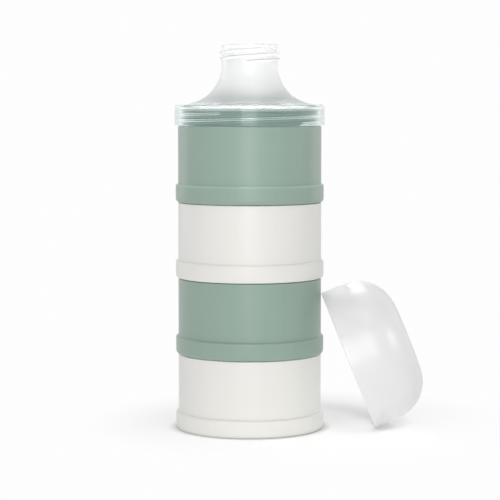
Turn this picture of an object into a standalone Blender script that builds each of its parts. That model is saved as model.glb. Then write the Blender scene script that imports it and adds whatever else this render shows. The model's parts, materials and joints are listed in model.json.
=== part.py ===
"""A stacking formula dispenser: four screw-together powder cups, a pouring funnel and its dome cap.

Every piece is turned. Each cup has a screw skirt below its floor and a narrower threaded rim above its
shoulder, so any module screws onto any cup, over a silicone seal. The cap is off and leans on the stack.
Metres, +Z up. The origin is the middle of the whole footprint, on the table.
"""
import math

import bpy

# Clearances
SEAT_GAP = 0.0003            # between pieces that seat on each other
THREAD_ROOM = 0.00115        # radial room for the meshing threads, between a rim and a skirt's bore
PLUG_ROOM = 0.00185          # the same between the spout and the cap's collar
CAP_HEADROOM = 0.0010        # between the spout's mouth and the ceiling of the closed cap

# Cups
STACK_PITCH = 0.0403         # height that each cup adds to the stack
BODY_RADIUS = 0.0380         # outside of the plain wall
BODY_WALL = 0.0015
FLOOR_THICKNESS = 0.0016
FLOOR_FILLET = 0.0030
SHOULDER_ROUND = 0.0006
BAND_HEIGHT = 0.00935        # the screw skirt shows as this band
BAND_PROUD = 0.0013          # how far the band stands out of the wall
BAND_TOP_ROUND = 0.0010
BAND_FOOT_INSET = 0.0011     # the band's lower edge turns in by this much ...
BAND_FOOT_RISE = 0.0020      # ... over this height
SKIRT_WALL = 0.00175
RIM_HEIGHT = 0.0077          # threaded rim above the shoulder
RIM_WALL = 0.0015
RIM_ROUND = 0.0005

# Seals
SEAL_THICKNESS = 0.0014
SEAL_OVERHANG = 0.0007       # how far a seal reaches inside the rim that it lies on

# Pouring funnel
RING_PROUD = 0.00175         # how far the funnel's ring stands out of the cups' wall
RING_TOP_ROUND = 0.0018
RING_FOOT_ROUND = 0.0006
LEDGE_THICKNESS = 0.0016
SPOUT_RADIUS = 0.01465       # outside of the straight neck
SPOUT_LENGTH = 0.0103        # straight neck above the flare
SPOUT_WALL = 0.0015
FLARE_RADIUS = 0.0213        # concave sweep from the neck out to the ledge
LIP_PROUD = 0.00035          # bead round the mouth
LIP_HEIGHT = 0.0014
LIP_ROUND = 0.0004

# Dome cap
CAP_INSET = 0.00095          # the cap's rim lies this far inside the funnel's ring
CAP_WALL = 0.0016
CAP_DRAFT = 0.0004           # how far the side leans in between the rim and the dome's shoulder
CAP_RIM_ROUND = 0.0004
DOME_RADIUS = 0.0208         # the big round between the side and the flat top
COLLAR_WALL = 0.0015
COLLAR_LENGTH = 0.0116       # the screw collar under the cap's ceiling
CAP_LEAN = math.radians(22)  # the cap's axis above the table

SEGMENTS = 44                # facets round each turned piece
BEND_STEPS = 3               # facets of a small round
SWEEP_STEPS = 9              # facets of the flare and of the dome's round

# Sizes that follow
BAND_RADIUS = BODY_RADIUS + BAND_PROUD
SKIRT_BORE = BAND_RADIUS - SKIRT_WALL
RIM_RADIUS = SKIRT_BORE - THREAD_ROOM
RIM_BORE = RIM_RADIUS - RIM_WALL
SEAT_DEPTH = RIM_HEIGHT + SEAL_THICKNESS + SEAT_GAP
SHOULDER = STACK_PITCH - SEAT_GAP
RIM_TOP = SHOULDER + RIM_HEIGHT

RING_RADIUS = BODY_RADIUS + RING_PROUD
RING_HEIGHT = SEAT_DEPTH + LEDGE_THICKNESS
SPOUT_HEIGHT = FLARE_RADIUS + SPOUT_LENGTH

CAP_RADIUS = RING_RADIUS - CAP_INSET
CAP_SIDE = CAP_RADIUS - CAP_DRAFT
CAP_HEIGHT = SPOUT_HEIGHT + CAP_HEADROOM + CAP_WALL
COLLAR_BORE = SPOUT_RADIUS + PLUG_ROOM


def bend(centre, radii, start, end, steps):
    """Points along part of an ellipse in the (radius, height) plane, angles in degrees."""
    angles = [math.radians(start + (end - start) * step / steps) for step in range(steps + 1)]
    return [(centre[0] + radii[0] * math.cos(a), centre[1] + radii[1] * math.sin(a)) for a in angles]


def cup_outline():
    """From the middle of the floor, up the inside, down the outside and back under the floor."""
    bore = BODY_RADIUS - BODY_WALL
    floor = SEAT_DEPTH + FLOOR_THICKNESS
    throat = SHOULDER - RIM_WALL
    return [
        (0, floor),
        *bend((bore - FLOOR_FILLET, floor + FLOOR_FILLET), (FLOOR_FILLET, FLOOR_FILLET), -90, 0, BEND_STEPS),
        (bore, throat - (bore - RIM_BORE)),
        (RIM_BORE, throat),
        (RIM_BORE, RIM_TOP),
        *bend((RIM_RADIUS - RIM_ROUND, RIM_TOP - RIM_ROUND), (RIM_ROUND, RIM_ROUND), 90, 0, 2),
        (RIM_RADIUS, SHOULDER),
        *bend((BODY_RADIUS - SHOULDER_ROUND, SHOULDER - SHOULDER_ROUND),
              (SHOULDER_ROUND, SHOULDER_ROUND), 90, 0, 2),
        (BODY_RADIUS, BAND_HEIGHT),
        *bend((BAND_RADIUS - BAND_TOP_ROUND, BAND_HEIGHT - BAND_TOP_ROUND),
              (BAND_TOP_ROUND, BAND_TOP_ROUND), 90, 0, 2),
        *bend((BAND_RADIUS - BAND_FOOT_INSET, BAND_FOOT_RISE),
              (BAND_FOOT_INSET, BAND_FOOT_RISE), 0, -90, BEND_STEPS),
        (SKIRT_BORE, 0),
        (SKIRT_BORE, SEAT_DEPTH),
        (0, SEAT_DEPTH),
    ]


def seal_outline():
    """A flat ring that lies on a rim, inside the skirt above it."""
    inner = RIM_BORE - SEAL_OVERHANG
    outer = SKIRT_BORE - SEAT_GAP
    return [(inner, SEAL_THICKNESS), (outer, SEAL_THICKNESS), (outer, 0), (inner, 0)]


def funnel_outline():
    """Down the outside from the mouth: lip, neck, flare, ledge and ring, then up the inside."""
    flare_foot = SPOUT_RADIUS + FLARE_RADIUS
    flare_centre = (flare_foot, RING_HEIGHT + FLARE_RADIUS)
    mouth = RING_HEIGHT + SPOUT_HEIGHT
    lip = SPOUT_RADIUS + LIP_PROUD
    bore_sweep = FLARE_RADIUS + SPOUT_WALL
    return [
        (SPOUT_RADIUS - SPOUT_WALL, mouth),
        *bend((lip - LIP_ROUND, mouth - LIP_ROUND), (LIP_ROUND, LIP_ROUND), 90, 0, 2),
        (lip, mouth - LIP_HEIGHT + LIP_PROUD),
        (SPOUT_RADIUS, mouth - LIP_HEIGHT),
        *bend(flare_centre, (FLARE_RADIUS, FLARE_RADIUS), 180, 270, SWEEP_STEPS),
        *bend((RING_RADIUS - RING_TOP_ROUND, RING_HEIGHT - RING_TOP_ROUND),
              (RING_TOP_ROUND, RING_TOP_ROUND), 90, 0, BEND_STEPS),
        *bend((RING_RADIUS - RING_FOOT_ROUND, RING_FOOT_ROUND),
              (RING_FOOT_ROUND, RING_FOOT_ROUND), 0, -90, 2),
        (SKIRT_BORE, 0),
        (SKIRT_BORE, SEAT_DEPTH),
        *bend(flare_centre, (bore_sweep, bore_sweep), 270, 180, SWEEP_STEPS),
    ]


def cap_outline():
    """Down the outside of the dome from its middle, round the rim and up the inside, past the collar."""
    top_radius = CAP_SIDE - DOME_RADIUS
    dome_centre = (top_radius, CAP_HEIGHT - DOME_RADIUS)
    inner_sweep = DOME_RADIUS - CAP_WALL
    ceiling = CAP_HEIGHT - CAP_WALL
    collar_radius = COLLAR_BORE + COLLAR_WALL
    # where the collar's outside meets the inside of the dome
    over = max(collar_radius - top_radius, 0)
    collar_root = dome_centre[1] + math.sqrt(inner_sweep ** 2 - over ** 2)
    inside = [(r, z) for r, z in bend(dome_centre, (inner_sweep, inner_sweep), 0, 90, SWEEP_STEPS)
              if r > collar_radius + CAP_RIM_ROUND]
    return [
        (0, CAP_HEIGHT),
        *bend(dome_centre, (DOME_RADIUS, DOME_RADIUS), 90, 0, SWEEP_STEPS),
        *bend((CAP_RADIUS - CAP_RIM_ROUND, CAP_RIM_ROUND), (CAP_RIM_ROUND, CAP_RIM_ROUND), 0, -90, 2),
        (CAP_RADIUS - CAP_WALL, 0),
        *inside,
        (collar_radius, collar_root),
        (collar_radius, ceiling - COLLAR_LENGTH),
        (COLLAR_BORE, ceiling - COLLAR_LENGTH),
        (COLLAR_BORE, ceiling),
        (0, ceiling),
    ]


def plastic(name, colour, roughness, transmission=0.0, ior=1.49):
    material = bpy.data.materials.new(name)
    material.use_nodes = True
    material.diffuse_color = (*colour, 1)
    shader = material.node_tree.nodes["Principled BSDF"]
    shader.inputs["Base Color"].default_value = (*colour, 1)
    shader.inputs["Roughness"].default_value = roughness
    shader.inputs["Metallic"].default_value = 0
    shader.inputs["Transmission Weight"].default_value = transmission
    shader.inputs["IOR"].default_value = ior
    return material


def turned(name, outline, material, parent=None, height=0.0, closed=False):
    """Spin an outline about Z into a piece that sits on its parent's axis, at a height above it."""
    count = len(outline)
    edges = [(i, (i + 1) % count) for i in range(count if closed else count - 1)]
    profile = bpy.data.meshes.new(name + "_profile")
    profile.from_pydata([(r, 0, z) for r, z in outline], edges, [])
    piece = bpy.data.objects.new(name, profile)
    parts.objects.link(piece)

    screw = piece.modifiers.new("Turn", "SCREW")
    screw.steps = screw.render_steps = SEGMENTS
    screw.use_merge_vertices = True
    screw.merge_threshold = 1e-6
    solid = bpy.data.meshes.new_from_object(piece.evaluated_get(bpy.context.evaluated_depsgraph_get()))
    piece.modifiers.remove(screw)
    piece.data = solid
    bpy.data.meshes.remove(profile)

    solid.name = name
    solid.materials.append(material)
    solid.shade_smooth()
    solid.set_sharp_from_angle(angle=math.radians(32))
    piece.parent = parent
    piece.location.z = height
    return piece


def lean_cap(cap, stack_x):
    """Stand the cap on its rim, tipped over until the rim's upper edge meets the cups' wall."""
    outline = cap_outline()
    foot = min(z * math.sin(CAP_LEAN) - r * math.cos(CAP_LEAN) for r, z in outline)
    edge = min(z * math.cos(CAP_LEAN) - r * math.sin(CAP_LEAN) for r, z in outline)
    cap.rotation_euler.y = math.pi / 2 - CAP_LEAN
    cap.location = (stack_x + BODY_RADIUS + SEAT_GAP - edge, 0, -foot)


def cap_reach():
    """How far the leaning cap reaches from the stack's axis."""
    outline = cap_outline()
    edge = min(z * math.cos(CAP_LEAN) - r * math.sin(CAP_LEAN) for r, z in outline)
    tip = max(z * math.cos(CAP_LEAN) + r * math.sin(CAP_LEAN) for r, z in outline)
    return BODY_RADIUS + SEAT_GAP - edge + tip


for old in list(bpy.data.objects):
    bpy.data.objects.remove(old)
parts = bpy.data.collections.new("formula_dispenser")
bpy.context.scene.collection.children.link(parts)

sage = plastic("sage polypropylene", (0.33, 0.43, 0.37), 0.42)
white = plastic("white polypropylene", (0.86, 0.85, 0.82), 0.42)
clear = plastic("natural polypropylene", (0.90, 0.92, 0.92), 0.18, transmission=0.85)
frosted = plastic("frosted polypropylene", (0.92, 0.93, 0.93), 0.35, transmission=0.70)
silicone = plastic("clear silicone", (0.88, 0.89, 0.88), 0.45, transmission=0.50, ior=1.41)

# The footprint runs from the funnel's ring on one side to the cap's dome on the other.
stack_x = (RING_RADIUS - cap_reach()) / 2

# Each module stands on its seal, and the seal on the cup below, so what turns or lifts carries the rest.
module = turned("bottom_cup", cup_outline(), white)
module.location.x = stack_x
for name, colour in (("lower_cup", sage), ("upper_cup", white), ("top_cup", sage), ("pouring_funnel", clear)):
    is_cup = name.endswith("cup")
    seal_name = name + "_seal" if is_cup else "funnel_seal"
    seal = turned(seal_name, seal_outline(), silicone, module, RIM_TOP + SEAT_GAP, closed=True)
    outline = cup_outline() if is_cup else funnel_outline()
    module = turned(name, outline, colour, seal, STACK_PITCH - RIM_TOP - SEAT_GAP, closed=not is_cup)

lean_cap(turned("dome_cap", cap_outline(), frosted), stack_x)
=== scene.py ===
# Stacking formula dispenser: the looks of four screw-together powder cups, their silicone seals, the
# pouring funnel on top and the dome cap that leans on the stack. Metres, +Z up.
import json
import math

import bpy
import numpy as np
from mathutils import Matrix, Vector


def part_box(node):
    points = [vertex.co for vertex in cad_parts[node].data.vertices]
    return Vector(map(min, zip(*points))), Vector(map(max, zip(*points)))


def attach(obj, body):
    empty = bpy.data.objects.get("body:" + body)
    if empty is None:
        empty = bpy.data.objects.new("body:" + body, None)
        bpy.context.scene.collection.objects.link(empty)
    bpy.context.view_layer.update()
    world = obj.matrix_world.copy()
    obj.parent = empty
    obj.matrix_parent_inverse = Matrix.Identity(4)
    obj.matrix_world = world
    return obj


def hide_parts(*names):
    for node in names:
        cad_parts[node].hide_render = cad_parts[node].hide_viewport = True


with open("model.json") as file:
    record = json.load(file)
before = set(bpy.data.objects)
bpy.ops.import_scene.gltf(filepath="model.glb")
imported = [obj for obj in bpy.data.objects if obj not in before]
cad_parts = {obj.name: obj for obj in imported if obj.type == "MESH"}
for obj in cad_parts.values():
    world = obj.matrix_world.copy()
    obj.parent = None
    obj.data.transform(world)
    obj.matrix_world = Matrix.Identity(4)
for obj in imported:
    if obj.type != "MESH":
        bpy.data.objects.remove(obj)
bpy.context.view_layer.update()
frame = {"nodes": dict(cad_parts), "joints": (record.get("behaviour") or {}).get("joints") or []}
print("frame loaded:", len(frame["nodes"]), "nodes")

mm = 0.001


def linear(code):
    # sRGB hex colour to linear RGBA
    channels = [int(code[i:i + 2], 16) / 255 for i in (1, 3, 5)]
    return [c / 12.92 if c <= 0.04045 else ((c + 0.055) / 1.055) ** 2.4 for c in channels] + [1]


def addNode(tree, kind, feeds=None, **settings):
    # feeds: socket name or number -> a plain value, or the output that is linked to it
    node = tree.nodes.new(kind)
    for setting, value in settings.items():
        setattr(node, setting, value)
    for socket, value in (feeds or {}).items():
        if isinstance(value, bpy.types.NodeSocket):
            tree.links.new(value, node.inputs[socket])
        else:
            node.inputs[socket].default_value = value
    return node


# Plastics.

def wallTint(tree, place, finish):
    # Colour drifts between two tints in soft clouds and in flow lines that run up the wall from the gate
    # under the floor.
    clouds = addNode(tree, "ShaderNodeTexNoise",
                     {"Vector": place, "Scale": 1000 / finish["cloudSize"], "Detail": 2, "Roughness": 0.5})
    stretched = addNode(tree, "ShaderNodeMapping", {"Vector": place, "Scale": (1, 1, finish["flowStretch"])})
    flow = addNode(tree, "ShaderNodeTexNoise",
                   {"Vector": stretched.outputs[0], "Scale": 1000 / finish["flowSpacing"], "Detail": 3})
    drift = addNode(tree, "ShaderNodeMath", {0: clouds.outputs[0], 1: flow.outputs[0]}, operation="MULTIPLY")
    blend = addNode(tree, "ShaderNodeMapRange",
                    {"Value": drift.outputs[0], "From Min": finish["driftSpan"][0],
                     "From Max": finish["driftSpan"][1]})
    tint = addNode(tree, "ShaderNodeMix",
                   {"Factor": blend.outputs[0], "A": linear(finish["tint"]), "B": linear(finish["deep"])},
                   data_type="RGBA")
    return tint.outputs["Result"]


def thickWallAndShade(tree, place, finish, tint):
    # Up to "polishedBelow" (m) the tool is polished and the wall is thick. Above it the flare starts thick
    # and thins out upwards. Over the flare's foot a grey band of painted shade stands in for the darker
    # surroundings seen through it. Returns the tint with all of this, and 1 where the wall is thin or 0 where
    # it is thick.
    height = addNode(tree, "ShaderNodeSeparateXYZ", {0: place}).outputs["Z"]
    edge = finish["polishedBelow"]
    thin = addNode(tree, "ShaderNodeMapRange",
                   {"Value": height, "From Min": edge, "From Max": edge + finish["polishEdge"] * mm})
    # painted shade: the grey band over the flare's foot, fading out upwards
    foot = addNode(tree, "ShaderNodeMapRange",
                   {"Value": height, "From Min": edge, "From Max": edge + finish["shadeBandHeight"] * mm},
                   interpolation_type="SMOOTHSTEP")
    for share, shade in ((foot, finish["foot"]), (thin, finish["thick"])):
        tint = addNode(tree, "ShaderNodeMix",
                       {"Factor": share.outputs[0], "A": linear(shade), "B": tint},
                       data_type="RGBA").outputs["Result"]
    return tint, thin.outputs[0]


def wallRelief(tree, place, finish, thin):
    # a long sink wave with the mould's fine grain on top, and the gloss that the grain breaks up
    grain = addNode(tree, "ShaderNodeTexNoise",
                    {"Vector": place, "Scale": 1000 / finish["grainSize"], "Detail": 2, "Roughness": 0.6})
    gloss = addNode(tree, "ShaderNodeMapRange",
                    {"Value": grain.outputs[0], "From Min": finish["grainSpan"][0],
                     "From Max": finish["grainSpan"][1], "To Min": finish["roughness"][0],
                     "To Max": finish["roughness"][1]})
    if thin is not None:
        polish = addNode(tree, "ShaderNodeMapRange", {"Value": thin, "To Min": finish["polish"]})
        gloss = addNode(tree, "ShaderNodeMath", {0: gloss.outputs[0], 1: polish.outputs[0]},
                        operation="MULTIPLY")
    wave = addNode(tree, "ShaderNodeTexNoise",
                   {"Vector": place, "Scale": 1000 / finish["waveSize"], "Detail": 1})
    sink = addNode(tree, "ShaderNodeBump",
                   {"Height": wave.outputs[0], "Strength": 1, "Distance": finish["waveDepth"] * mm})
    relief = addNode(tree, "ShaderNodeBump",
                     {"Height": grain.outputs[0], "Strength": 1, "Distance": finish["grainDepth"] * mm,
                      "Normal": sink.outputs[0]})
    return gloss.outputs[0], relief.outputs[0]


def letLampsThrough(tree, finish, thin, surface):
    # thin clear walls hardly dim the lamps, and shadows seen straight on the floor keep some weight
    path = addNode(tree, "ShaderNodeLightPath")
    lost = addNode(tree, "ShaderNodeMath", {0: path.outputs["Ray Depth"], 1: finish["escape"]},
                   operation="GREATER_THAN")  # light caught inside the wall is let out, not swallowed
    most = finish["lampsPass"]
    if thin is not None:
        most = addNode(tree, "ShaderNodeMapRange",
                       {"Value": thin, "To Min": most, "To Max": finish["thinPass"]}).outputs[0]
    passing = addNode(tree, "ShaderNodeMapRange",
                      {"Value": path.outputs["Ray Depth"], "To Min": finish["shadePass"], "To Max": most})
    through = addNode(tree, "ShaderNodeBsdfTransparent", {"Color": passing.outputs[0]})
    for chosen in (lost.outputs[0], path.outputs["Is Shadow Ray"]):
        surface = addNode(tree, "ShaderNodeMixShader",
                          {0: chosen, 1: surface, 2: through.outputs[0]}).outputs[0]
    return surface


def mouldedPlastic(name, finish):
    material = bpy.data.materials.new(name)
    material.use_nodes = True
    tree = material.node_tree
    tree.nodes.clear()
    place = addNode(tree, "ShaderNodeTexCoord").outputs["Object"]
    tint, thin = wallTint(tree, place, finish), None
    if finish["polishedBelow"]:
        tint, thin = thickWallAndShade(tree, place, finish, tint)
    gloss, relief = wallRelief(tree, place, finish, thin)
    surface = addNode(tree, "ShaderNodeBsdfPrincipled",
                      {"Base Color": tint, "Roughness": gloss, "Normal": relief, "IOR": finish["ior"],
                       "Transmission Weight": finish["clear"]}).outputs[0]
    if finish["milky"]:  # light that soaks through a hazy wall
        soaked = addNode(tree, "ShaderNodeBsdfTranslucent", {"Color": linear(finish["tint"])})
        surface = addNode(tree, "ShaderNodeMixShader",
                          {0: finish["milky"], 1: surface, 2: soaked.outputs[0]}).outputs[0]
    if finish["lampsPass"]:
        surface = letLampsThrough(tree, finish, thin, surface)
    addNode(tree, "ShaderNodeOutputMaterial", {"Surface": surface})
    return material


# Polypropylene, injection moulded in a satin tool: soft wide highlight, a little waxy, never mirror-like.
# The tool's grain is about 0.1 mm; it is drawn at 0.7 mm so that it shows. Sizes are in mm. The passes are
# shares of light from a lamp: "lampsPass" into a thick wall, "thinPass" into a thin one, and "shadePass" to
# the floor in plain sight. "escape" is the number of bounces after which caught light is let out.
satin = {"cloudSize": 22, "flowSpacing": 3.2, "flowStretch": 0.05, "driftSpan": (0.12, 0.42),
         "grainSize": 0.7, "grainDepth": 0.004, "grainSpan": (0.3, 0.7), "waveSize": 16, "waveDepth": 0.03,
         "roughness": (0.3, 0.36), "ior": 1.52, "clear": 0, "milky": 0, "lampsPass": 0, "escape": 4.5,
         "polishedBelow": 0}
ledgeUnderside = 10.6  # mm above the funnel's foot; below it the clear wall is thick
finishes = {
    # white masterbatch: warm off-white
    "whitePolypropylene": {**satin, "tint": "#f3f2ed", "deep": "#f1f0eb", "ior": 1.62},
    # sage masterbatch: greyed green
    "sagePolypropylene": {**satin, "tint": "#98afa2", "deep": "#95ac9f"},
    # unpigmented, polished tool: clear with a breath of haze and a cool edge where the wall is thick;
    # "foot" is painted shade, a grey band low on the flare
    "naturalPolypropylene": {**satin, "tint": "#ffffff", "deep": "#fdfefe", "thick": "#f1fbfc",
                             "foot": "#e1e4e4", "shadeBandHeight": 10.5,
                             "polishedBelow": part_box("pouring_funnel")[0].z + ledgeUnderside * mm,
                             "polishEdge": 2, "polish": 0.4, "roughness": (0.32, 0.38), "ior": 1.49,
                             "grainDepth": 0.0001, "waveDepth": 0.004, "clear": 1,
                             "lampsPass": 0.92, "shadePass": 0.6, "thinPass": 0.8},
    # unpigmented, blasted tool: frosted, light soaks through and nothing behind it can be read
    "frostedPolypropylene": {**satin, "tint": "#f9f9f9", "deep": "#f6f6f6", "roughness": (0.28, 0.32),
                             "ior": 1.65, "waveSize": 13, "waveDepth": 0.3, "grainDepth": 0.0004,
                             "clear": 0.45, "lampsPass": 0.88, "shadePass": 0.45},
    # uncoloured silicone rubber, moulded matt: soft and cloudy
    "siliconeRubber": {**satin, "tint": "#eceeec", "deep": "#e4e7e5", "roughness": (0.5, 0.6),
                       "ior": 1.41, "clear": 0.2, "milky": 0.3},
}
plastics = {name: mouldedPlastic(name, finish) for name, finish in finishes.items()}
print("plastics mixed:", ", ".join(plastics))


# Turning.

turned = {  # how finely every turned piece is drawn; mm unless said
    "segments": 216, "weld": 0.005,
    "roundTurn": 18, "roundStep": 1.1,      # a rounding's rows: degrees, and length along it
    "threadStep": 0.1, "plainStep": 4,      # rows along a threaded and a plain run
    "shortRun": 1,                          # a plain run up to this long gets none
    "edgeStep": 0.15,                       # rows this close to each round keep a flat run's shading flat
}

def turningTree(material):
    # Spins rows of (radius, 0, height) round Z. Rows that carry a thread get helical ridges: the row's
    # "ridge" holds ridge height (minus for inside threads), lead and the ridge's height at angle zero, and
    # "reach" holds the lowest and highest ridge centre and the half width at the ridge's foot.
    tree = bpy.data.node_groups.new("threadedTurning", "GeometryNodeTree")
    tree.is_modifier = True
    face = tree.interface
    face.new_socket("Outline", in_out="INPUT", socket_type="NodeSocketGeometry")
    for socket, kind, value in (("Segments", "Int", turned["segments"]), ("Starts", "Int", 2),
                                ("Crest Share", "Float", 0.45), ("Run Out", "Float", 0.3 * mm),
                                ("Material", "Material", material)):
        face.new_socket(socket, in_out="INPUT", socket_type="NodeSocket" + kind).default_value = value
    face.new_socket("Piece", in_out="OUTPUT", socket_type="NodeSocketGeometry")
    inputs = addNode(tree, "NodeGroupInput").outputs

    size = addNode(tree, "GeometryNodeAttributeDomainSize", {"Geometry": inputs["Outline"]})
    terms = {"index": addNode(tree, "GeometryNodeInputIndex").outputs[0],
             "segments": inputs["Segments"], "starts": inputs["Starts"], "share": inputs["Crest Share"],
             "runOut": inputs["Run Out"]}
    for result, operation, *feeds in (("around", "ADD", "segments", 1),
                                      ("quotient", "DIVIDE", "index", "around"),
                                      ("row", "FLOOR", "quotient"),
                                      ("past", "MULTIPLY", "row", "around"),
                                      ("column", "SUBTRACT", "index", "past"),
                                      ("turn", "DIVIDE", "column", "segments")):
        named = {i: terms.get(feed, feed) for i, feed in enumerate(feeds)}
        terms[result] = addNode(tree, "ShaderNodeMath", named, operation=operation, label=result).outputs[0]
    grid = addNode(tree, "GeometryNodeMeshGrid",
                   {"Vertices X": size.outputs["Point Count"], "Vertices Y": terms["around"]})

    # read the outline's point, and what thread it carries, for this row
    for source, names in (("position", ("radius", None, "height")), ("ridge", ("tall", "lead", "datum")),
                          ("reach", ("low", "high", "foot"))):
        if source == "position":
            field = addNode(tree, "GeometryNodeInputPosition").outputs[0]
        else:
            field = addNode(tree, "GeometryNodeInputNamedAttribute", {"Name": source},
                            data_type="FLOAT_VECTOR").outputs["Attribute"]
        read = addNode(tree, "GeometryNodeSampleIndex",
                       {"Geometry": inputs["Outline"], "Value": field, "Index": terms["row"]},
                       data_type="FLOAT_VECTOR", domain="POINT")
        split = addNode(tree, "ShaderNodeSeparateXYZ", {0: read.outputs[0]})
        terms.update({name: split.outputs[i] for i, name in enumerate(names) if name})

    for result, operation, *feeds in (("angle", "MULTIPLY", "turn", 2 * math.pi),
                                      ("spacing", "DIVIDE", "lead", "starts"),
                                      ("half", "MULTIPLY", "spacing", 0.5),
                                      ("minusHalf", "MULTIPLY", "half", -1),
                                      ("climb", "MULTIPLY_ADD", "lead", "turn", "datum"),
                                      ("above", "SUBTRACT", "height", "climb"),
                                      ("offset", "WRAP", "above", "half", "minusHalf"),
                                      ("aside", "ABSOLUTE", "offset"),
                                      ("centre", "SUBTRACT", "height", "offset"),
                                      ("crestHalf", "MULTIPLY", "foot", "share"),
                                      ("lowEnd", "ADD", "low", "runOut"),
                                      ("highEnd", "SUBTRACT", "high", "runOut")):
        named = {i: terms.get(feed, feed) for i, feed in enumerate(feeds)}
        terms[result] = addNode(tree, "ShaderNodeMath", named, operation=operation, label=result).outputs[0]
    for result, value, start, end in (("crest", "aside", "foot", "crestHalf"),
                                      ("entry", "centre", "low", "lowEnd"),
                                      ("exit", "centre", "high", "highEnd")):
        terms[result] = addNode(tree, "ShaderNodeMapRange",
                                {"Value": terms[value], "From Min": terms[start], "From Max": terms[end]},
                                interpolation_type="SMOOTHSTEP", label=result).outputs[0]
    for result, operation, *feeds in (("kept", "MULTIPLY", "entry", "exit"),
                                      ("shape", "MULTIPLY", "crest", "kept"),
                                      ("spread", "MULTIPLY_ADD", "shape", "tall", "radius"),
                                      ("cosine", "COSINE", "angle"),
                                      ("sine", "SINE", "angle"),
                                      ("x", "MULTIPLY", "spread", "cosine"),
                                      ("y", "MULTIPLY", "spread", "sine")):
        named = {i: terms.get(feed, feed) for i, feed in enumerate(feeds)}
        terms[result] = addNode(tree, "ShaderNodeMath", named, operation=operation, label=result).outputs[0]

    place = addNode(tree, "ShaderNodeCombineXYZ", {0: terms["x"], 1: terms["y"], 2: terms["height"]})
    shaped = addNode(tree, "GeometryNodeSetPosition",
                     {"Geometry": grid.outputs["Mesh"], "Position": place.outputs[0]})
    joined = addNode(tree, "GeometryNodeMergeByDistance",  # closes the seam and the poles
                     {"Geometry": shaped.outputs[0], "Distance": turned["weld"] * mm})
    smooth = addNode(tree, "GeometryNodeSetShadeSmooth", {"Geometry": joined.outputs[0]})
    real = addNode(tree, "GeometryNodeRealizeInstances", {"Geometry": smooth.outputs[0]})
    painted = addNode(tree, "GeometryNodeSetMaterial",
                      {"Geometry": real.outputs[0], "Material": inputs["Material"]})
    addNode(tree, "NodeGroupOutput", {"Piece": painted.outputs[0]})
    return tree


turning = turningTree(plastics["whitePolypropylene"])
pieces = {}


def outlineRows(corners, closed=False):
    # A corner is (radius, height, cut) in mm. The rounding starts one cut back from the corner and ends one
    # cut past it; a pair gives an uneven round. A fourth entry is the thread on the run that follows.
    points = [np.array(corner[:2], float) for corner in corners]
    arcs = []
    for i, corner in enumerate(corners):
        here, cut = points[i], corner[2] if len(corner) > 2 else 0
        arc = [here]
        if cut and (closed or 0 < i < len(corners) - 1):
            back, ahead = cut if isinstance(cut, tuple) else (cut, cut)
            into, out = here - points[i - 1], points[(i + 1) % len(points)] - here
            into, out = into / np.linalg.norm(into), out / np.linalg.norm(out)
            turn = math.acos(max(-1, min(1, float(into @ out))))
            steps = max(2, math.ceil(math.degrees(turn) / turned["roundTurn"]),
                        math.ceil(max(back, ahead) * turn / turned["roundStep"]))
            sweep = [math.pi / 2 * step / steps for step in range(steps + 1)]
            arc = [here - into * back * (1 - math.sin(t)) + out * ahead * (1 - math.cos(t)) for t in sweep]
        arcs.append((arc, corner[3] if len(corner) > 3 else None))
    if closed:
        arcs.append((arcs[0][0][:1], None))
    rows, thread = [], None
    for arc, following in arcs:
        if rows:  # fill the straight run from the last row
            start = rows[-1][0]
            run = arc[0] - start
            length = np.linalg.norm(run)
            shares = []
            if thread:
                steps = math.ceil(length / turned["threadStep"])
                shares = [step / steps for step in range(1, steps)]
            elif length > turned["shortRun"]:
                steps = math.ceil(length / turned["plainStep"])
                edge = turned["edgeStep"] / length
                shares = [edge, *(step / steps for step in range(1, steps)), 1 - edge]
            rows.extend((start + run * share, thread) for share in shares)
        rows.extend((point, None) for point in arc)
        thread = following
    return rows


def turnPiece(name, node, corners, material, place, closed=False):
    # One turned piece: rows to mesh, spun by the tree, made plain and put in place of its CAD node
    rows = outlineRows(corners, closed)
    mesh = bpy.data.meshes.new(name + "Outline")
    mesh.from_pydata([(r * mm, 0, z * mm) for (r, z), thread in rows], [], [])
    blank = {"tall": 0, "lead": 0, "datum": 0, "low": 0, "high": 0, "foot": 0.001}
    for attribute, keys in (("ridge", ("tall", "lead", "datum")), ("reach", ("low", "high", "foot"))):
        values = [[(thread or blank)[key] * mm for key in keys] for point, thread in rows]
        layer = mesh.attributes.new(attribute, "FLOAT_VECTOR", "POINT")
        layer.data.foreach_set("vector", np.array(values, np.float32).ravel())
    piece = bpy.data.objects.new(name, mesh)
    bpy.context.scene.collection.objects.link(piece)
    modifier = piece.modifiers.new("Turning", "NODES")
    modifier.node_group = turning
    sockets = {item.name: item.identifier for item in turning.interface.items_tree
               if item.in_out == "INPUT"}
    modifier[sockets["Material"]] = plastics[material]
    modifier[sockets["Segments"]] = turned["segments"]
    plain = bpy.data.meshes.new_from_object(piece.evaluated_get(bpy.context.evaluated_depsgraph_get()))
    piece.modifiers.remove(modifier)
    piece.data = plain
    bpy.data.meshes.remove(mesh)
    plain.name = name
    plain.transform(place)
    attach(piece, node)
    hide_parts(node)
    pieces[node] = piece


def standing(node):
    # upright place of a turned piece: the middle of its box, at its foot
    low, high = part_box(node)
    return Matrix.Translation(((low.x + high.x) / 2, (low.y + high.y) / 2, low.z))


# Cups.

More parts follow.
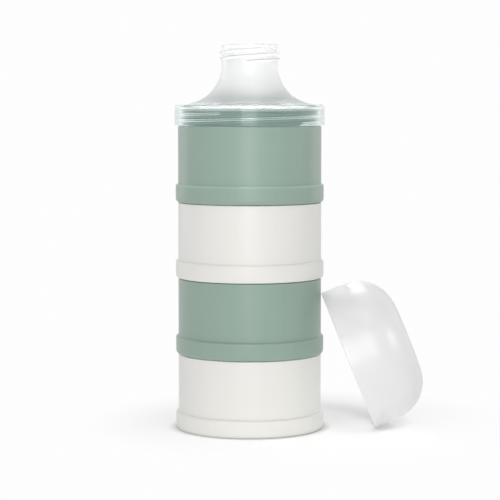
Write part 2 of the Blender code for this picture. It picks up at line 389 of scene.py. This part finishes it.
screw = {  # the double-start screw that joins every module, in mm; datum is a ridge's height at angle zero
    "lead": 6.4, "datum": 2.4, "ridge": 0.78, "foot": 0.62,
    "rimRoot": 36.4, "rimLow": 41.4, "rimHigh": 46.5,     # on the rim above the shoulder
    "bore": 37.55, "boreLow": 1.2, "boreHigh": 6.6,       # in the skirt
    "mouthRound": 0.25, "seatRound": 0.4,                 # at the skirt's foot and at its ceiling
}
cup = {  # in mm, from the foot of the screw skirt
    "pitch": 40.3, "wall": 38.0, "inside": 36.5, "band": 39.3, "bandHeight": 9.35, "seat": 9.4,
    "floor": 11.0, "shoulder": 40.0, "rimTop": 47.7, "rimInside": 34.9,
    "throatLow": 36.9, "throatHigh": 38.5,
    "floorRound": 3.0, "throatRound": 0.7, "rimInnerRound": 0.35, "rimOuterRound": 0.5,
    "rootRound": 0.35, "shoulderRound": 0.6, "creaseRound": 0.25, "bandRound": 1.0,
    "footRound": (2.0, 1.1),                              # longer up the band than in towards the bore
    "gateDish": 6.0, "gateSlope": 0.4, "gatePip": 1.0, "pipSlope": 0.2, "pipSunk": 0.1,   # under the floor
    "dishRound": 0.2, "pipRound": 0.15,
}
rimThread = {"tall": screw["ridge"], "lead": screw["lead"], "datum": screw["datum"],
             "low": screw["rimLow"], "high": screw["rimHigh"], "foot": screw["foot"]}
skirtThread = {"tall": -screw["ridge"], "lead": screw["lead"],
               "datum": screw["datum"] - cup["pitch"] + screw["lead"] / 4,
               "low": screw["boreLow"], "high": screw["boreHigh"], "foot": screw["foot"]}
cupCorners = [
    (0, cup["floor"]),
    (cup["inside"], cup["floor"], cup["floorRound"]),
    (cup["inside"], cup["throatLow"], cup["throatRound"]),
    (cup["rimInside"], cup["throatHigh"], cup["throatRound"]),
    (cup["rimInside"], cup["rimTop"], cup["rimInnerRound"]),
    (screw["rimRoot"], cup["rimTop"], cup["rimOuterRound"], rimThread),
    (screw["rimRoot"], cup["shoulder"], cup["rootRound"]),
    (cup["wall"], cup["shoulder"], cup["shoulderRound"]),
    (cup["wall"], cup["bandHeight"], cup["creaseRound"]),
    (cup["band"], cup["bandHeight"], cup["bandRound"]),
    (cup["band"], 0, cup["footRound"]),
    (screw["bore"], 0, screw["mouthRound"], skirtThread),
    (screw["bore"], cup["seat"], screw["seatRound"]),
    (cup["gateDish"], cup["seat"], cup["dishRound"]),
    (cup["gateDish"] - cup["gateSlope"], cup["seat"] + cup["gateSlope"], cup["dishRound"]),
    (cup["gatePip"] + cup["pipSlope"], cup["seat"] + cup["gateSlope"], cup["pipRound"]),
    (cup["gatePip"], cup["seat"] + cup["pipSunk"], cup["pipRound"]),
    (0, cup["seat"] + cup["pipSunk"]),
]
for node, name, material in (("bottom_cup", "bottomCup", "whitePolypropylene"),
                             ("lower_cup", "lowerCup", "sagePolypropylene"),
                             ("upper_cup", "upperCup", "whitePolypropylene"),
                             ("top_cup", "topCup", "sagePolypropylene")):
    turnPiece(name, node, cupCorners, material, standing(node))
print("cups turned")

# Seals.

seal = {  # in mm; the bead stands up where the rim bites
    "inside": 34.2, "outside": 37.25, "thick": 1.4, "round": 0.35,
    "bead": 0.12, "beadInner": 34.9, "beadOuter": 36.4, "beadSlope": 0.4, "beadRound": 0.2,
}
sealFace = seal["thick"] - seal["bead"]
sealCorners = [
    (seal["inside"], sealFace, seal["round"]),
    (seal["beadInner"], sealFace, seal["beadRound"]),
    (seal["beadInner"] + seal["beadSlope"], seal["thick"], seal["beadRound"]),
    (seal["beadOuter"] - seal["beadSlope"], seal["thick"], seal["beadRound"]),
    (seal["beadOuter"], sealFace, seal["beadRound"]),
    (seal["outside"], sealFace, seal["round"]),
    (seal["outside"], 0, seal["round"]),
    (seal["inside"], 0, seal["round"]),
]
for node, name in (("lower_cup_seal", "lowerCupSeal"), ("upper_cup_seal", "upperCupSeal"),
                   ("top_cup_seal", "topCupSeal"), ("funnel_seal", "funnelSeal")):
    turnPiece(name, node, sealCorners, "siliconeRubber", standing(node), closed=True)
print("seals turned")

# Pouring funnel.

funnel = {  # in mm, from the foot of the ring
    "ring": 39.75, "ledge": 11.0, "flare": 21.3, "neck": 14.65, "spoutBore": 13.15, "mouth": 42.6,
    "lip": 15.0, "lipHeight": 1.2, "lipSlope": 0.3, "seat": 9.4, "innerFlare": (22.8, 22.9),
    "mouthInnerRound": 0.35, "mouthOuterRound": 0.4, "lipRound": 0.15, "ledgeRound": 1.6, "footRound": 0.6,
    "ridge": 1.28, "lead": 6.2, "foot": 0.75,
    "firstRidge": 24.06, "zoneLow": 22.3, "zoneHigh": 29.3,   # above the ledge; first ridge at the -X side
}
spoutThread = {"tall": funnel["ridge"], "lead": funnel["lead"],
               "datum": funnel["ledge"] + funnel["firstRidge"] - funnel["lead"] / 2,
               "low": funnel["ledge"] + funnel["zoneLow"], "high": funnel["ledge"] + funnel["zoneHigh"],
               "foot": funnel["foot"]}
lipFoot = funnel["mouth"] - funnel["lipHeight"]
funnelCorners = [
    (funnel["spoutBore"], funnel["mouth"], funnel["mouthInnerRound"]),
    (funnel["lip"], funnel["mouth"], funnel["mouthOuterRound"]),
    (funnel["lip"], lipFoot, funnel["lipRound"]),
    (funnel["neck"], lipFoot - funnel["lipSlope"], funnel["lipRound"], spoutThread),
    (funnel["neck"], funnel["ledge"], funnel["flare"]),
    (funnel["ring"], funnel["ledge"], funnel["ledgeRound"]),
    (funnel["ring"], 0, funnel["footRound"]),
    (screw["bore"], 0, screw["mouthRound"], skirtThread),
    (screw["bore"], funnel["seat"], screw["seatRound"]),
    (funnel["spoutBore"], funnel["seat"], funnel["innerFlare"]),
]
turnPiece("pouringFunnel", "pouring_funnel", funnelCorners, "naturalPolypropylene",
          standing("pouring_funnel"), closed=True)
print("funnel turned")

# Dome cap.

cap = {  # in mm, from the middle of the rim
    "rim": 38.77, "side": 38.4, "height": 34.2, "wall": 1.6, "dome": 20.8,
    "collarBore": 16.5, "collar": 18.0, "collarFoot": 21.0,
    "ridge": 0.9, "foot": 0.7, "threadInset": (1.2, 2.0),   # thread stops short of the foot and the ceiling
    "shoulderDrop": 0.9, "crownEase": 0.95,     # below the dome's foot, and how much sooner the inside levels
    "shoulderRound": 0.8, "rimOuterRound": 0.4, "rimInnerRound": 0.3, "rootRound": 0.4, "collarRound": 0.3,
}
domeFoot = cap["height"] - cap["dome"]
ceiling = cap["height"] - cap["wall"]
innerDome = cap["dome"] - cap["wall"]
collarThread = {"tall": -cap["ridge"], "lead": funnel["lead"],
                "datum": spoutThread["datum"] - funnel["ledge"] + funnel["lead"] / 4,
                "low": cap["collarFoot"] + cap["threadInset"][0],
                "high": ceiling - cap["threadInset"][1], "foot": cap["foot"]}
shoulder = domeFoot - cap["shoulderDrop"]
capCorners = [
    (0, cap["height"]),
    (cap["side"], cap["height"], cap["dome"]),
    (cap["side"], shoulder, cap["shoulderRound"]),
    (cap["rim"], 0, cap["rimOuterRound"]),
    (cap["rim"] - cap["wall"], 0, cap["rimInnerRound"]),
    (cap["side"] - cap["wall"], shoulder, cap["shoulderRound"]),
    (cap["side"] - cap["wall"], ceiling, (innerDome, innerDome - cap["crownEase"])),
    (cap["collar"], ceiling, cap["rootRound"]),
    (cap["collar"], cap["collarFoot"], cap["collarRound"]),
    (cap["collarBore"], cap["collarFoot"], cap["collarRound"], collarThread),
    (cap["collarBore"], ceiling, cap["rootRound"]),
    (0, ceiling),
]
joints = {joint["name"]: joint for joint in frame["joints"]}
capAxis = Vector(joints["cap_lift_off"]["axis"]).normalized()
lean = Vector((0, 0, 1)).rotation_difference(capAxis).to_matrix().to_4x4()
low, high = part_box("dome_cap")
ring = [lean @ Vector((side * r * mm, 0, z * mm)) for (r, z), thread in outlineRows(capCorners)
        for side in (-1, 1)]
capPlace = Matrix.Translation((low.x - min(p.x for p in ring), (low.y + high.y) / 2,
                               low.z - min(p.z for p in ring)))
turnPiece("domeCap", "dome_cap", capCorners, "frostedPolypropylene", capPlace @ lean)
print("cap turned")

# Floor.

floorFinish = {  # metres, and shares of white
    "shade": 0.79, "bounce": 0.77, "white": 0.985,      # paper that takes shadow, its bounce, plain paper
    "middle": (0.003, 0.01, 0), "near": 0.055, "far": 0.125,    # shadows fade out between near and far
    "contact": 0.005, "cornerShade": 0.2, "capShade": 0.56,     # contact shade under the cup and the cap
    "cupReach": 0.045, "capReach": 0.058,       # one shade turns into the other this far from the stack
    "reach": 60.0,                              # half the paper's width
}
stackFoot = standing("bottom_cup").to_translation()
floorMesh = bpy.data.meshes.new("floor")
reach = floorFinish["reach"]
floorMesh.from_pydata([(-reach, -reach, 0), (reach, -reach, 0), (reach, reach, 0), (-reach, reach, 0)],
                      [], [(0, 1, 2, 3)])
floor = bpy.data.objects.new("floor", floorMesh)
bpy.context.scene.collection.objects.link(floor)
paper = bpy.data.materials.new("whitePaper")  # matt near the object, for soft shadows, and even white beyond
paper.use_nodes = True
tree = paper.node_tree
tree.nodes.clear()
place = addNode(tree, "ShaderNodeTexCoord").outputs["Object"]
away = addNode(tree, "ShaderNodeVectorMath", {0: place, 1: floorFinish["middle"]}, operation="DISTANCE")
fade = addNode(tree, "ShaderNodeMapRange",
               {"Value": away.outputs["Value"], "From Min": floorFinish["near"],
                "From Max": floorFinish["far"]}, interpolation_type="SMOOTHSTEP")
path = addNode(tree, "ShaderNodeLightPath").outputs
levels = [addNode(tree, "ShaderNodeMapRange",
                  {"Value": path["Diffuse Depth"], "To Min": seen,
                   "To Max": floorFinish["bounce"]}).outputs[0]
          for seen in (floorFinish["shade"], floorFinish["white"])]
corner = addNode(tree, "ShaderNodeAmbientOcclusion", {"Distance": floorFinish["contact"]})
fromStack = addNode(tree, "ShaderNodeVectorMath", {0: place, 1: stackFoot}, operation="DISTANCE")
darkest = addNode(tree, "ShaderNodeMapRange",  # the clear cap darkens its corner less than the solid cup
                  {"Value": fromStack.outputs["Value"], "From Min": floorFinish["cupReach"],
                   "From Max": floorFinish["capReach"], "To Min": floorFinish["cornerShade"],
                   "To Max": floorFinish["capShade"]})
grounded = addNode(tree, "ShaderNodeMapRange",
                   {"Value": corner.outputs["AO"], "To Min": darkest.outputs[0], "To Max": levels[0]})
matt = addNode(tree, "ShaderNodeBsdfDiffuse", {"Color": grounded.outputs[0]})
glow = addNode(tree, "ShaderNodeEmission", {"Strength": levels[1]})
faded = addNode(tree, "ShaderNodeMixShader", {0: fade.outputs[0], 1: matt.outputs[0], 2: glow.outputs[0]})
addNode(tree, "ShaderNodeOutputMaterial", {"Surface": faded.outputs[0]})
floorMesh.materials.append(paper)

# Light.

studio = {
    "overhead": 0.55, "white": 0.985,                       # light from straight above, and the backdrop
    "mirrored": ((0, 0.9), (0.45, 0.75), (0.7, 0.985)),     # what gloss and clear walls show, front to back
    "aimHeight": 0.1,                                       # m up the stack, where every lamp points
}
world = bpy.data.worlds.new("studio")
bpy.context.scene.world = world
world.use_nodes = True
tree = world.node_tree
tree.nodes.clear()
way = addNode(tree, "ShaderNodeSeparateXYZ", {0: addNode(tree, "ShaderNodeTexCoord").outputs["Generated"]})
fill = addNode(tree, "ShaderNodeMapRange", {"Value": way.outputs["Z"], "To Max": studio["overhead"]})
depth = addNode(tree, "ShaderNodeMapRange", {"Value": way.outputs["Y"], "From Min": -1})
ramp = addNode(tree, "ShaderNodeValToRGB", {0: depth.outputs[0]})
ramp.color_ramp.interpolation = "EASE"
ramp.color_ramp.elements.new(0.5)
for element, (place, stop) in zip(ramp.color_ramp.elements, studio["mirrored"]):
    element.position = place
    element.color = (stop, stop, stop, 1)
path = addNode(tree, "ShaderNodeLightPath").outputs
bent = addNode(tree, "ShaderNodeMath", {0: path["Is Glossy Ray"], 1: path["Is Transmission Ray"]},
               operation="MAXIMUM")
sharp = addNode(tree, "ShaderNodeMath", {0: path["Diffuse Depth"], 1: 0.5}, operation="LESS_THAN")
glossy = addNode(tree, "ShaderNodeMath", {0: bent.outputs[0], 1: sharp.outputs[0]}, operation="MULTIPLY")
backgrounds = [addNode(tree, "ShaderNodeBackground", {"Color": level}).outputs[0]
               for level in (fill.outputs[0], ramp.outputs[0], [studio["white"]] * 3 + [1])]
mirrored = addNode(tree, "ShaderNodeMixShader",
                   {0: glossy.outputs[0], 1: backgrounds[0], 2: backgrounds[1]})
mixed = addNode(tree, "ShaderNodeMixShader",
                {0: path["Is Camera Ray"], 1: mirrored.outputs[0], 2: backgrounds[2]})
addNode(tree, "ShaderNodeOutputWorld", {"Surface": mixed.outputs[0]})

aim = stackFoot + Vector((0, 0, studio["aimHeight"]))
# Azimuth from the front and elevation in degrees, distance and size in m, power in W. "lights" names the
# group that a lamp lights and "shades" the one that casts its shadow. "mirrored" False keeps a lamp out of
# reflections and clear walls, and "seenThrough" False out of clear walls only.
lamps = {
    "frontSoftbox": {"azimuth": -1, "elevation": 12, "distance": 1.6, "size": (0.7, 1.3), "power": 3.6},
    "frontSheen": {"azimuth": -1, "elevation": 12, "distance": 1.63, "size": (0.7, 1.3), "power": 2.8,
                   "seenThrough": False},
    "frontFill": {"azimuth": -3, "elevation": 12, "distance": 1.6, "size": (0.7, 1.3), "power": 7.0,
                  "mirrored": False},
    "topBack": {"azimuth": 180, "elevation": 53, "distance": 1.3, "size": (0.45, 0.3), "power": 1.7},
    "lowBack": {"azimuth": 180, "elevation": 32, "distance": 1.3, "size": (0.14, 0.3), "power": 1.6},
    "topFront": {"azimuth": 0, "elevation": 70, "distance": 1.3, "size": (0.3, 0.5), "power": 0.8},
    "leftBack": {"azimuth": -128, "elevation": 15, "distance": 1.3, "size": (0.4, 1.0), "power": 1.0},
    "rightBack": {"azimuth": 128, "elevation": 15, "distance": 1.3, "size": (0.4, 1.0), "power": 0.8},
    "rightSide": {"azimuth": 69, "elevation": 25, "distance": 1.3, "size": (0.32, 0.32), "power": 1.7,
                  "lights": "cap"},
    "topGlow": {"azimuth": 0, "elevation": 84, "distance": 1.3, "size": (0.35, 0.35), "power": 7.5,
                "lights": "topCup"},
    "floorKey": {"azimuth": 0, "elevation": 80, "distance": 1.3, "size": (1.5, 1.5), "power": 6.6,
                 "lights": "floor", "shades": "standing"},
    "capKey": {"azimuth": 32, "elevation": 44, "distance": 1.3, "size": (0.6, 0.6), "power": 14.5,
               "lights": "floor", "shades": "cap"},
}
members = {"floor": [floor], "pieces": list(pieces.values()), "topCup": [pieces["top_cup"]],
           "cap": [pieces["dome_cap"]], "standing": [pieces["bottom_cup"], pieces["dome_cap"]]}
groups = {}
for group, grouped in members.items():
    groups[group] = bpy.data.collections.new(group + "Group")
    for member in grouped:
        groups[group].objects.link(member)
for name, lamp in lamps.items():
    light = bpy.data.lights.new(name, "AREA")
    light.shape = "RECTANGLE"
    light.size, light.size_y = lamp["size"]
    light.energy = lamp["power"]
    box = bpy.data.objects.new(name, light)
    bpy.context.scene.collection.objects.link(box)
    azimuth, elevation = math.radians(lamp["azimuth"]), math.radians(lamp["elevation"])
    towards = Vector((math.sin(azimuth) * math.cos(elevation), -math.cos(azimuth) * math.cos(elevation),
                      math.sin(elevation)))
    box.location = aim + towards * lamp["distance"]
    box.visible_glossy = lamp.get("mirrored", True)
    box.visible_transmission = box.visible_glossy and lamp.get("seenThrough", True)
    box.light_linking.receiver_collection = groups[lamp.get("lights", "pieces")]
    if "shades" in lamp:
        box.light_linking.blocker_collection = groups[lamp["shades"]]
    box.rotation_euler = (-towards).to_track_quat("-Z", "Y").to_euler()

# Camera.

# from the foot of the stack, in m; tilt in degrees, lens in mm
view = {"aside": 0.00015, "away": 1.016, "height": 0.17875, "tilt": 4.72, "lens": 137.78}
lens = bpy.data.cameras.new("camera")
lens.lens = view["lens"]
camera = bpy.data.objects.new("camera", lens)
bpy.context.scene.collection.objects.link(camera)
camera.location = stackFoot + Vector((view["aside"], -view["away"], view["height"]))
camera.rotation_euler = (math.radians(90 - view["tilt"]), 0, 0)
bpy.context.scene.camera = camera
bpy.context.scene.view_settings.view_transform = "Standard"

print("scene ready")
